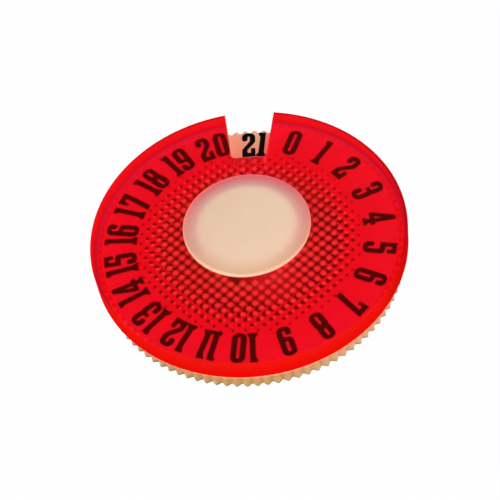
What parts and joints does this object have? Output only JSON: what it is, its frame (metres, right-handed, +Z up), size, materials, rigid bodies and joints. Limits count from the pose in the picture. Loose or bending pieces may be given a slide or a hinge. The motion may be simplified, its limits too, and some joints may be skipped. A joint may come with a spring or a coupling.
{
  "type": "life counter",
  "caption": "Round hand-turned life counter: a transparent dial with a window turns on a serrated number wheel and is held by a glued axle disc and cap.",
  "frame": {"origin": "centre of the number wheel's flat underside, on the turning axis", "axes": "+Z up along the turning axis, out of the dial's face; +Y towards the number that shows in the window at rest"},
  "size_m": [0.038, 0.0379, 0.007],
  "materials": {
    "ivory_acrylic": "ivory acrylic sheet, laser-cut edges",
    "red_acrylic": "transparent fluorescent red acrylic sheet, polished faces",
    "cap_acrylic": "thin translucent ivory acrylic"
  },
  "bodies": {
    "wheel": {"number_wheel": "ivory_acrylic", "hub_axle": "ivory_acrylic", "hub_cap": "cap_acrylic"},
    "dial": {"top_dial": "red_acrylic"}
  },
  "joints": [
    {"name": "dial_turn", "type": "hinge", "parent": "wheel", "child": "dial", "pos_m": [0, 0, 0.0043], "axis": [0, 0, 1], "continuous": true}
  ]
}
